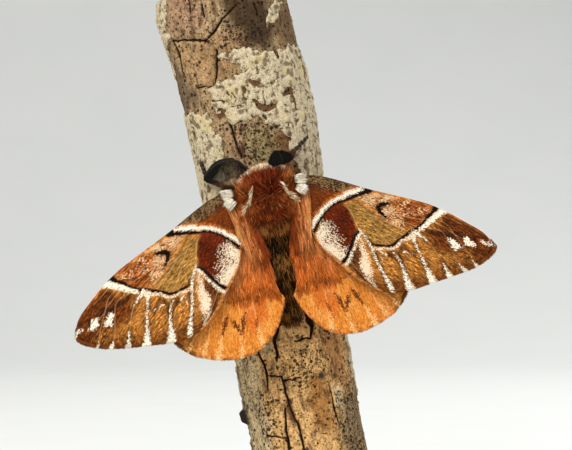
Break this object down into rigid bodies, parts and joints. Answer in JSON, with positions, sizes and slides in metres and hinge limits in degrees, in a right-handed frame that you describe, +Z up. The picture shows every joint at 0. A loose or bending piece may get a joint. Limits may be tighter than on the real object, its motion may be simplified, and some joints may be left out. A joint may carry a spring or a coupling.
{
  "type": "kentish glory moth on a branch, display model",
  "caption": "Life-size still model of a male kentish glory moth with half spread wings, clinging to a short cut length of branch on a round display stand.",
  "frame": {"origin": "centre of the stand base's underside", "axes": "+Z up, +X to the right of someone facing the moth's back, -Y towards that person; the moth's head points up"},
  "size_m": [0.056, 0.056, 0.0754],
  "materials": {
    "stand": "dark stained and waxed",
    "steel": "satin",
    "bark": "dry, cracked bark with pale lichen",
    "fur_red": "long dark reddish-brown hair",
    "fur_dark": "long golden-brown hair over a dark body",
    "fur_pale": "pale cream-brown hair",
    "eye": "glossy black",
    "antenna": "sooty black-grey",
    "leg": "dark brown, scaly",
    "forewing": "brown scales with white and black bands",
    "hindwing": "orange scales with dark marks and pale veins"
  },
  "bodies": {
    "root": {"stand_base": "stand", "stand_rod": "steel", "perch_branch": "bark", "thorax": "fur_red", "abdomen": "fur_dark", "head": "fur_pale", "eye_left": "eye", "eye_right": "eye", "antenna_left": "antenna", "antenna_right": "antenna", "forewing_left": "forewing", "forewing_right": "forewing", "hindwing_left": "hindwing", "hindwing_right": "hindwing", "foreleg_left": "leg", "foreleg_right": "leg", "midleg_left": "leg", "midleg_right": "leg", "hindleg_left": "leg", "hindleg_right": "leg"}
  },
  "joints": []
}
